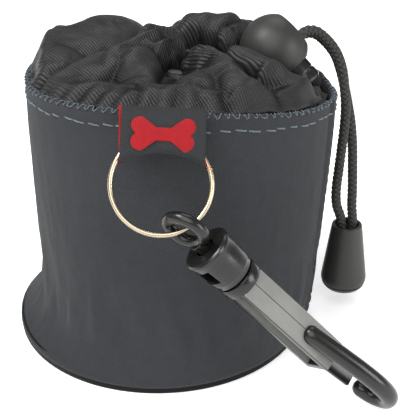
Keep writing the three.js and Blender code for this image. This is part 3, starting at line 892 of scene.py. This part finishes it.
# Routes of the two strands, in millimetres.
TAIL_BACK = (
    (22.2, 0.7, 60.6), (24.6, 1.6, 62.5), (27.5, 2.8, 65), (30.5, 3.9, 67.4), (32.1, 4.6, 68.8),
    (33.8, 5.3, 69.3), (35.4, 5.9, 69.2), (37, 6.2, 68.4), (39.1, 6, 66.5), (41, 5.5, 63.9),
    (42.3, 4.9, 60.5), (43.4, 4.4, 56.5), (44.5, 3.9, 51.9), (45.4, 3.3, 47), (45.9, 2.5, 41.7),
    (46.1, 1.6, 36.4), (46.3, 1.1, 31.5), (46.4, 0.9, 27.5), (46.7, 0.9, 24.6), (46.95, 1, 22.2),
    (46.95, 1, 20.2),
)
TAIL_FRONT = (
    (22.3, -2, 61.9), (24.6, -1.1, 63.8), (27.6, 0.1, 66.3), (30.5, 1.2, 68.7), (32.2, 1.9, 70.1),
    (33.6, 2.7, 70.7), (35.2, 3.3, 70.6), (36.8, 3.6, 69.8), (38.9, 3.4, 67.9), (40.8, 2.9, 65.3),
    (42.1, 2.1, 61.9), (42.8, 1.6, 57.8), (43.3, 1.1, 53.1), (43.3, 1, 48), (43, 1.1, 42.3),
    (42.7, 1.3, 36.6), (42.4, 1.2, 31.5), (42.7, 1.1, 27.5), (43.7, 1, 24.6), (44.25, 1, 22.2),
    (44.25, 1, 20.2),
)


def braid_height(around, along):
    """Relief of an eight-strand braid, 0 to 1."""
    left = math.sin(math.pi * (4 * around + along))
    right = math.sin(math.pi * (4 * around - along))
    top, under = (left, right) if left * right > 0 else (right, left)
    return abs(top) ** 0.8 * (0.45 + 0.55 * abs(under) ** 0.5)


class POUCH_OT_cords(Operator):
    """Two braided strands from the lock to the bell"""
    bl_idname = "pouch.cords"
    bl_label = "Cords"

    def execute(self, context):
        radius = context.scene.pouch_cord.diameter / MM / 2
        for name, node, points, extras in (
            ("cord_strand_back", "drawstring_tail_back", TAIL_BACK, ["cord_end_knot"]),
            ("cord_strand_front", "drawstring_tail_front", TAIL_FRONT, ["cord_bell", "cord_bell_plug"]),
        ):
            line, reach = through(points, STRAND_STEPS)
            frames = carried_frames(line)

            def strand(u, v):
                point, side, up = frames[round(v * STRAND_STEPS)]
                swell = radius * (0.76 + 0.28 * braid_height(u, v * reach / BRAID_PITCH))
                return point + swell * (side * math.cos(TURN * u) + up * math.sin(TURN * u))

            piece = cloth_grid(name, 32, STRAND_STEPS, (TURN * radius, reach), strand)
            close_up(piece)
            # the fold values drive painted shade in the braid's grooves and painted light on its ridges
            mark_folds(piece, 4, 0.09, False)
            done(piece, None, "cord", node)
            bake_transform(piece)
            reach * MM
            [p * MM for p in line[::4]]
        return {"FINISHED"}


def lock_frame():
    across = CORD_AXIS - PLUNGER_AXIS * CORD_AXIS.dot(PLUNGER_AXIS)
    across.normalize()
    return basis(across.cross(PLUNGER_AXIS), across, PLUNGER_AXIS, LOCK_CENTRE)


class POUCH_OT_lock(Operator):
    """Ball cord lock with its plunger and spring"""
    bl_idname = "pouch.lock"
    bl_label = "Cord lock"

    def execute(self, context):
        object_mode()
        bpy.ops.mesh.primitive_uv_sphere_add(segments=96, ring_count=64, radius=7.7 * MM)
        ball = bpy.context.object
        ball.name = "cord_lock_ball"
        flats = (((-9, 5.9, -9), (9, 9, 9)), ((-9, -9, -9), (9, -5.9, 9)), ((-9, -9, 6.3), (9, 9, 9)))
        for low, high in flats:
            carve(ball, block("flat", low, high))
        carve(ball, spun("bore", [[0, -6.1], [4.2, -6.1], [4.2, 9], [0, 9]], 64))
        through_hole = spun("cord_hole", [[0, -9], [3.5, -9], [3.5, 9], [0, 9]], 56,
                            Matrix.Rotation(math.pi / 2, 4, "X"))
        through_hole.data.transform(Matrix.Translation((0, 0, 0.6 * MM)))
        carve(ball, through_hole)
        groove = spun("parting_line", [[7.55, -0.07], [8, -0.07], [8, 0.07], [7.55, 0.07]], 96,
                      Matrix.Rotation(math.pi / 2, 4, "Y"))
        carve(ball, groove)
        bevel(ball, 0.22, 3, 34)
        ball.data.transform(lock_frame())
        done(smooth(ball, 30), "lock", "matte_plastic", "cord_lock_barrel")

        plunger = spun("cord_lock_button", [
            [0, -2.8], [3.9, -2.8], [3.9, 8.4], [3.72, 8.55], [3.72, 8.85], [3.9, 9], [3.9, 10.7],
            [3.5, 11.2], [2.6, 11.3], [2.45, 11.05], [0, 11.0],
        ], 64)
        carve(plunger, block("cord_slot", (-2.95, -9, 0.5), (2.95, 9, 6.2)))
        carve(plunger, spun("spring_well", [[0, -4], [2.9, -4], [2.9, -0.3], [0, -0.3]], 40))
        bevel(plunger, 0.15, 2, 34)
        plunger.data.transform(lock_frame())
        done(smooth(plunger, 30), "plunger", "gloss_plastic", "cord_lock_plunger")
        refinish("cord_lock_spring", "spring_steel")
        return {"FINISHED"}


class POUCH_OT_bell(Operator):
    """Bell-shaped cord end with its snap-in plug and knot"""
    bl_idname = "pouch.bell"
    bl_label = "Bell cord end"

    def execute(self, context):
        place = Matrix.Translation(BELL_CENTRE * MM)
        bell = spun("cord_bell", [
            [2.95, 22.2], [3.35, 22.2], [3.62, 22.05], [3.72, 21.75], [4.1, 19], [4.62, 15], [5.1, 11.4],
            [5.42, 9], [5.58, 7.9], [5.6, 7.3], [5.5, 6.6], [5.4, 6.25], [4.3, 6.2], [4.3, 8.2],
            [3.2, 16.6], [2.95, 18],
        ], 72, place)
        done(smooth(bell, 40), "cord_end", "matte_plastic", "cord_end_bell")
        plug_piece = spun("cord_bell_plug", [
            [0, 3.6], [1.6, 3.66], [3.2, 4.0], [4.4, 4.7], [5.05, 5.4], [5.3, 5.85], [5.3, 5.95],
            [4, 5.95], [4, 7.6], [0, 7.6],
        ], 72, place)
        done(smooth(plug_piece, 40), "cord_end", "matte_plastic", "cord_end_plug")
        refinish("cord_end_knot", "cord")
        return {"FINISHED"}


def ring_frame():
    tilt = math.pi / 2 - RING_TILT
    return Matrix.Translation(RING_CENTRE * MM) @ Matrix.Rotation(tilt, 4, "X")


def label_frame():
    return ring_frame() @ Matrix.Rotation(LABEL_ROLL, 4, "Z")


def label_section(v):
    """How far down the ribbon's loop a point is, 0 to 1, and its side: 1 in front, -1 behind."""
    side = 1 if v < 0.5 else -1
    share = 1 - abs(2 * v - 1)
    return share, side


class POUCH_OT_label(Operator):
    """Folded ribbon label with a sewn bone, and the split ring"""
    bl_idname = "pouch.label"
    bl_label = "Label and ring"

    def execute(self, context):
        top = 15
        half_gap = 1.65

        def ribbon(u, v):
            across = (0.5 - u) * LABEL_WIDTH
            share, side = label_section(v)
            low = 3.6 + 2.4 * (1 - (2 * u - 1) ** 2)
            straight = min(1, share / 0.86)
            bend = max(0, (share - 0.86) / 0.14) * math.pi / 2
            height = top - (top - low - half_gap * 0.8) * straight - half_gap * 0.8 * math.sin(bend)
            out = 0.28 + (half_gap - 0.28) * smoothstep(straight, 0.05, 0.5)
            out = out * math.cos(bend) if bend else out
            out += 0.18 * math.sin(3.1 * u + 1) * straight * side
            across -= 0.55 * (1 - straight ** 3) if side < 0 else 0
            return Vector((across, height, side * out))

        label = cloth_grid("ribbon_label", 48, 110, (16.4, 26), ribbon, joined=False)
        label.data.materials.append(finish_of("label_ribbon"))
        label.data.materials.append(finish_of("label_reverse"))
        modify(label, "SOLIDIFY", thickness=0.42 * MM, offset=-1, material_offset=1, material_offset_rim=1)
        label.data.transform(label_frame())
        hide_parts("label_loop")
        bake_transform(label)

        def inside_bone(x, y):
            knobs = math.hypot(abs(x) - 4.5, abs(y) - 1.55) < 1.75
            return knobs or (abs(x) < 4.6 and abs(y) < 1.35)

        def outline(angle):
            reach = 7.0
            while reach > 0.2 and not inside_bone(reach * math.cos(angle), reach * math.sin(angle)):
                reach -= 0.04
            return reach

        rays = [outline(TURN * i / BONE_RAYS) for i in range(BONE_RAYS)]

        def bone(u, v):
            index = round(u * BONE_RAYS) % BONE_RAYS
            reach = rays[index] * min(1, v / 0.9)
            angle = TURN * u
            lift = 0.34 * (1 - smoothstep(v, 0.72, 1)) + (0.06 if v < 1 else -0.1)
            x, y = reach * math.cos(angle), reach * math.sin(angle)
            out = half_gap + 0.18 * math.sin(3.1 * (x / LABEL_WIDTH + 0.5) + 1)
            return Vector((x, y + 9.4, out + lift))

        emblem = cloth_grid("sewn_bone", BONE_RAYS, 16, (12, 6), bone)
        emblem.data.transform(label_frame())
        close_up(emblem)
        emblem.data.materials.append(finish_of("emblem"))
        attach(emblem, "label")

        line = []
        for i in range(RING_STEPS + 1):
            t = i / RING_STEPS
            angle = TURN * 1.94 * t + math.radians(40)
            step = smoothstep(t, 0.42, 0.58) - 0.5
            line.append((RING_RADIUS * math.cos(angle), RING_RADIUS * math.sin(angle), 1.01 * step))
        coils = wire("split_ring_coils", [line], 0.475, 14)
        coils.data.transform(ring_frame())
        done(coils, "ring", "nickel", "split_ring")
        cuts = []
        for i, j in ((0, 2), (RING_STEPS, RING_STEPS - 2)):
            a, b = Vector(line[i]), Vector(line[j])
            cuts.append([a + (a - b).normalized() * 0.02, b])
        ends = wire("split_ring_ends", cuts, 0.482, 14)
        ends.data.transform(ring_frame())
        ends.data.materials.append(finish_of("cut_copper"))
        done(ends, "ring", "nickel")
        return {"FINISHED"}


def hook_frame():
    """+Z towards the eye, +Y towards the J's rod, +X out of the slotted side."""
    lean, yaw = math.radians(48), math.radians(5)
    along = Vector((math.cos(lean) * math.cos(yaw), math.cos(lean) * math.sin(yaw), -math.sin(lean)))
    facing = Vector((0.29, -0.94, 0.19))
    facing = (facing - along * facing.dot(along)).normalized()
    facing.rotate(Matrix.Rotation(math.radians(-20), 3, along))
    down = Vector((0, -math.sin(RING_TILT), -math.cos(RING_TILT)))
    eye = RING_CENTRE + down * RING_RADIUS * math.cos(RING_TURN)
    eye.x += RING_RADIUS * math.sin(RING_TURN)
    eye += along.cross(facing) * 0.3
    back = -along
    side = facing.cross(back).normalized()
    return basis(side, back.cross(side), back, eye)


class POUCH_OT_hook(Operator):
    """Swivel eye, hook body and gate"""
    bl_idname = "pouch.hook"
    bl_label = "Snap hook"

    def execute(self, context):
        place = hook_frame()
        object_mode()
        bpy.ops.mesh.primitive_torus_add(major_radius=3.8 * MM, minor_radius=1.25 * MM,
                                         major_segments=72, minor_segments=28)
        eye = bpy.context.object
        eye.name = "swivel_eye_loop"
        eye.data.transform(Matrix.Rotation(math.radians(10), 4, "Z") @ Matrix.Rotation(math.pi / 2, 4, "Y"))
        shank = spun("shank", [
            [0, -3.4], [2.1, -3.4], [1.9, -4.3], [1.7, -5], [1.7, -7.4], [3, -7.4], [3, -8.4], [1.9, -10.4],
            [0, -10.4],
        ], 48)
        carve(eye, shank, "UNION")
        bevel(eye, 0.2, 2, 40)
        eye.data.transform(place)
        done(smooth(eye, 50), "eye", "gloss_plastic", "swivel_eye")

        housing = spun("hook_swivel_housing", [
            [2.05, -5.6], [4.75, -5.6], [5.15, -5.9], [5.2, -6.3], [5.05, -6.9], [5.0, -7.1], [4.9, -9],
            [4.7, -12.6], [4.62, -12.9], [4.5, -13.1], [4.5, -13.8], [3.7, -13.8], [3.6, -14.45],
            [4.3, -14.5], [4.45, -14.8], [4.4, -16.9], [0, -17.2], [0, -12], [3.4, -12], [3.4, -6.8],
            [2.05, -6.8],
        ], 72)
        carve(housing, block("window_side", (-8, -2.5, -11.3), (8, 2.5, -7.7)))
        bevel(housing, 0.18, 2, 34)
        housing.data.transform(place)
        done(smooth(housing, 34), "hook", "gloss_plastic", "hook_body")

        bar = block("hook_bar", (-3.3, -3.3, -43.5), (3.3, 3.3, -16.6))

        def slot():
            bpy.ops.mesh.select_mode(type="FACE")
            bpy.ops.mesh.select_all(action="DESELECT")
            bpy.ops.object.mode_set(mode="OBJECT")
            for face in bar.data.polygons:
                face.select = abs(face.normal.x) > 0.9
            bpy.ops.object.mode_set(mode="EDIT")
            bpy.ops.mesh.inset(thickness=1.5 * MM, use_individual=True)
            bpy.ops.mesh.extrude_region_shrink_fatten(TRANSFORM_OT_shrink_fatten={"value": -1.7 * MM})

        edit(bar, slot)
        edit(bar, lambda: bpy.ops.mesh.bisect(plane_co=(0, 0, 0), plane_no=(1, 0, 0)))
        for vertex in bar.data.vertices:
            if abs(vertex.co.x) < 0.01 * MM and vertex.co.y > 3 * MM:
                vertex.co.y += 0.5 * MM
        bevel(bar, 0.28, 3, 40)
        carve(bar, block("centre_line", (-0.07, 3.5, -33), (0.07, 4.5, -17)))
        bar.data.materials.append(finish_of("gloss_plastic"))
        bar.data.materials.append(finish_of("ground_plastic"))
        # the bar's +Y faces take the lighter copy: a painted reflection of a lamp on the flat black plastic
        for face in bar.data.polygons:
            face.material_index = 1 if face.normal.y > 0.9 else 0
        bar.data.transform(place)
        done(smooth(bar, 24), "hook", "gloss_plastic")

        line, _ = through([
            (0, 2.6, -33.4), (0, 3.6, -35), (0, 4.6, -37.5), (0, 6.1, -42), (0, 7.7, -47.5), (0, 8.5, -52.6),
            (0, 7.7, -56.9), (0, 5, -59.3), (0, 1.9, -58.8), (0, 0.2, -56.5), (0, -0.1, -54.2),
        ], 90)
        radii = []
        for i in range(91):
            start = math.sqrt(max(0.02, 1 - max(0, 1 - i / 5) ** 2))
            end = math.sqrt(max(0.02, 1 - max(0, (i - 85) / 5) ** 2))
            radii.append(start * end)
        rod = wire("hook_j", [line], 1.98, 24, radii=radii)
        rod.data.transform(place)
        done(rod, "hook", "gloss_plastic")

        gate = block("hook_gate_tongue", (-1.7, -3, -52.6), (1.7, 0, -43.8))
        for vertex in gate.data.vertices:
            near = vertex.co.z > -48 * MM
            outer = vertex.co.y < -1 * MM
            vertex.co.y = (-3 if outer else -1.6) * MM if near else (-0.8 if outer else 0.2) * MM
        bevel(gate, 0.22, 3, 30)
        gate.data.transform(place)
        done(smooth(gate, 30), "gate", "gloss_plastic", "hook_gate")
        return {"FINISHED"}


class POUCH_OT_stage(Operator):
    """Pale floor, soft studio light and the camera"""
    bl_idname = "pouch.stage"
    bl_label = "Stage"

    def execute(self, context):
        object_mode()
        bpy.ops.mesh.primitive_plane_add(size=6)
        floor = bpy.context.object
        floor.name = "floor"
        glow = {"Emission Color": (1, 1, 1, 1), "Emission Strength": 0.35}
        pale = Finish("pale_floor", (0.9, 0.9, 0.9), 0.8, glow)
        floor.data.materials.append(pale.material)

        world = context.scene.world or bpy.data.worlds.new("studio")
        context.scene.world = world
        world.use_nodes = True
        background = world.node_tree.nodes["Background"]
        background.inputs["Color"].default_value = (1, 1, 1, 1)
        background.inputs["Strength"].default_value = 0.38

        for name, spot, size, power in (
            ("key_softbox", (0.75, -0.42, 0.26), 0.4, 3.5),
            ("left_softbox", (-0.45, -0.1, 0.75), 0.3, 5.0),
            ("top_softbox", (0.15, 0.45, 0.8), 0.4, 1.5),
        ):
            data = bpy.data.lights.new(name, "AREA")
            data.energy = power
            data.size = size
            light = add_object(name, data)
            light.location = spot
            aim = Vector((0.01, 0, 0.04)) - light.location
            light.rotation_euler = aim.to_track_quat("-Z", "Y").to_euler()

        data = bpy.data.lights.new("broad_sky", "SUN")
        data.energy = 2.4
        data.angle = math.radians(60)
        light = add_object("broad_sky", data)
        light.rotation_euler = (math.radians(40), math.radians(-18), 0)

        data = bpy.data.cameras.new("camera")
        data.lens = 86.54
        data.sensor_width = 36
        data.clip_start = 0.01
        camera = add_object("camera", data)
        camera.location = CAMERA_PLACE
        camera.rotation_euler = CAMERA_LOOK.to_track_quat("-Z", "Y").to_euler()
        context.scene.camera = camera
        context.scene.view_settings.view_transform = "Standard"
        return {"FINISHED"}


class POUCH_PT_panel(Panel):
    """Sizes, colours and steps of the treat pouch"""
    bl_label = "Treat pouch"
    bl_idname = "POUCH_PT_panel"
    bl_space_type = "VIEW_3D"
    bl_region_type = "UI"
    bl_category = "Treat pouch"

    def draw(self, context):
        for group in (context.scene.pouch_cloth, context.scene.pouch_cord, context.scene.pouch_hook):
            box = self.layout.box()
            for key in group.__annotations__:
                box.prop(group, key)
        for step in STEPS:
            self.layout.operator(step.bl_idname)


GROUPS = (PouchCloth, PouchCord, PouchHook)
STEPS = (POUCH_OT_stage, POUCH_OT_lock, POUCH_OT_bell, POUCH_OT_cords, POUCH_OT_wall, POUCH_OT_stitches,
         POUCH_OT_collar, POUCH_OT_label, POUCH_OT_hook)
CLASSES = (*GROUPS, *STEPS, POUCH_PT_panel)


def register():
    for cls in CLASSES:
        bpy.utils.register_class(cls)
    bpy.types.Scene.pouch_cloth = PointerProperty(type=PouchCloth)
    bpy.types.Scene.pouch_cord = PointerProperty(type=PouchCord)
    bpy.types.Scene.pouch_hook = PointerProperty(type=PouchHook)


def unregister():
    for name in ("pouch_hook", "pouch_cord", "pouch_cloth"):
        delattr(bpy.types.Scene, name)
    for cls in reversed(CLASSES):
        bpy.utils.unregister_class(cls)


def main():
    register()
    for step in STEPS:
        getattr(bpy.ops.pouch, step.bl_idname.split(".")[1])()
    object_mode()


if __name__ == "__main__":
    main()
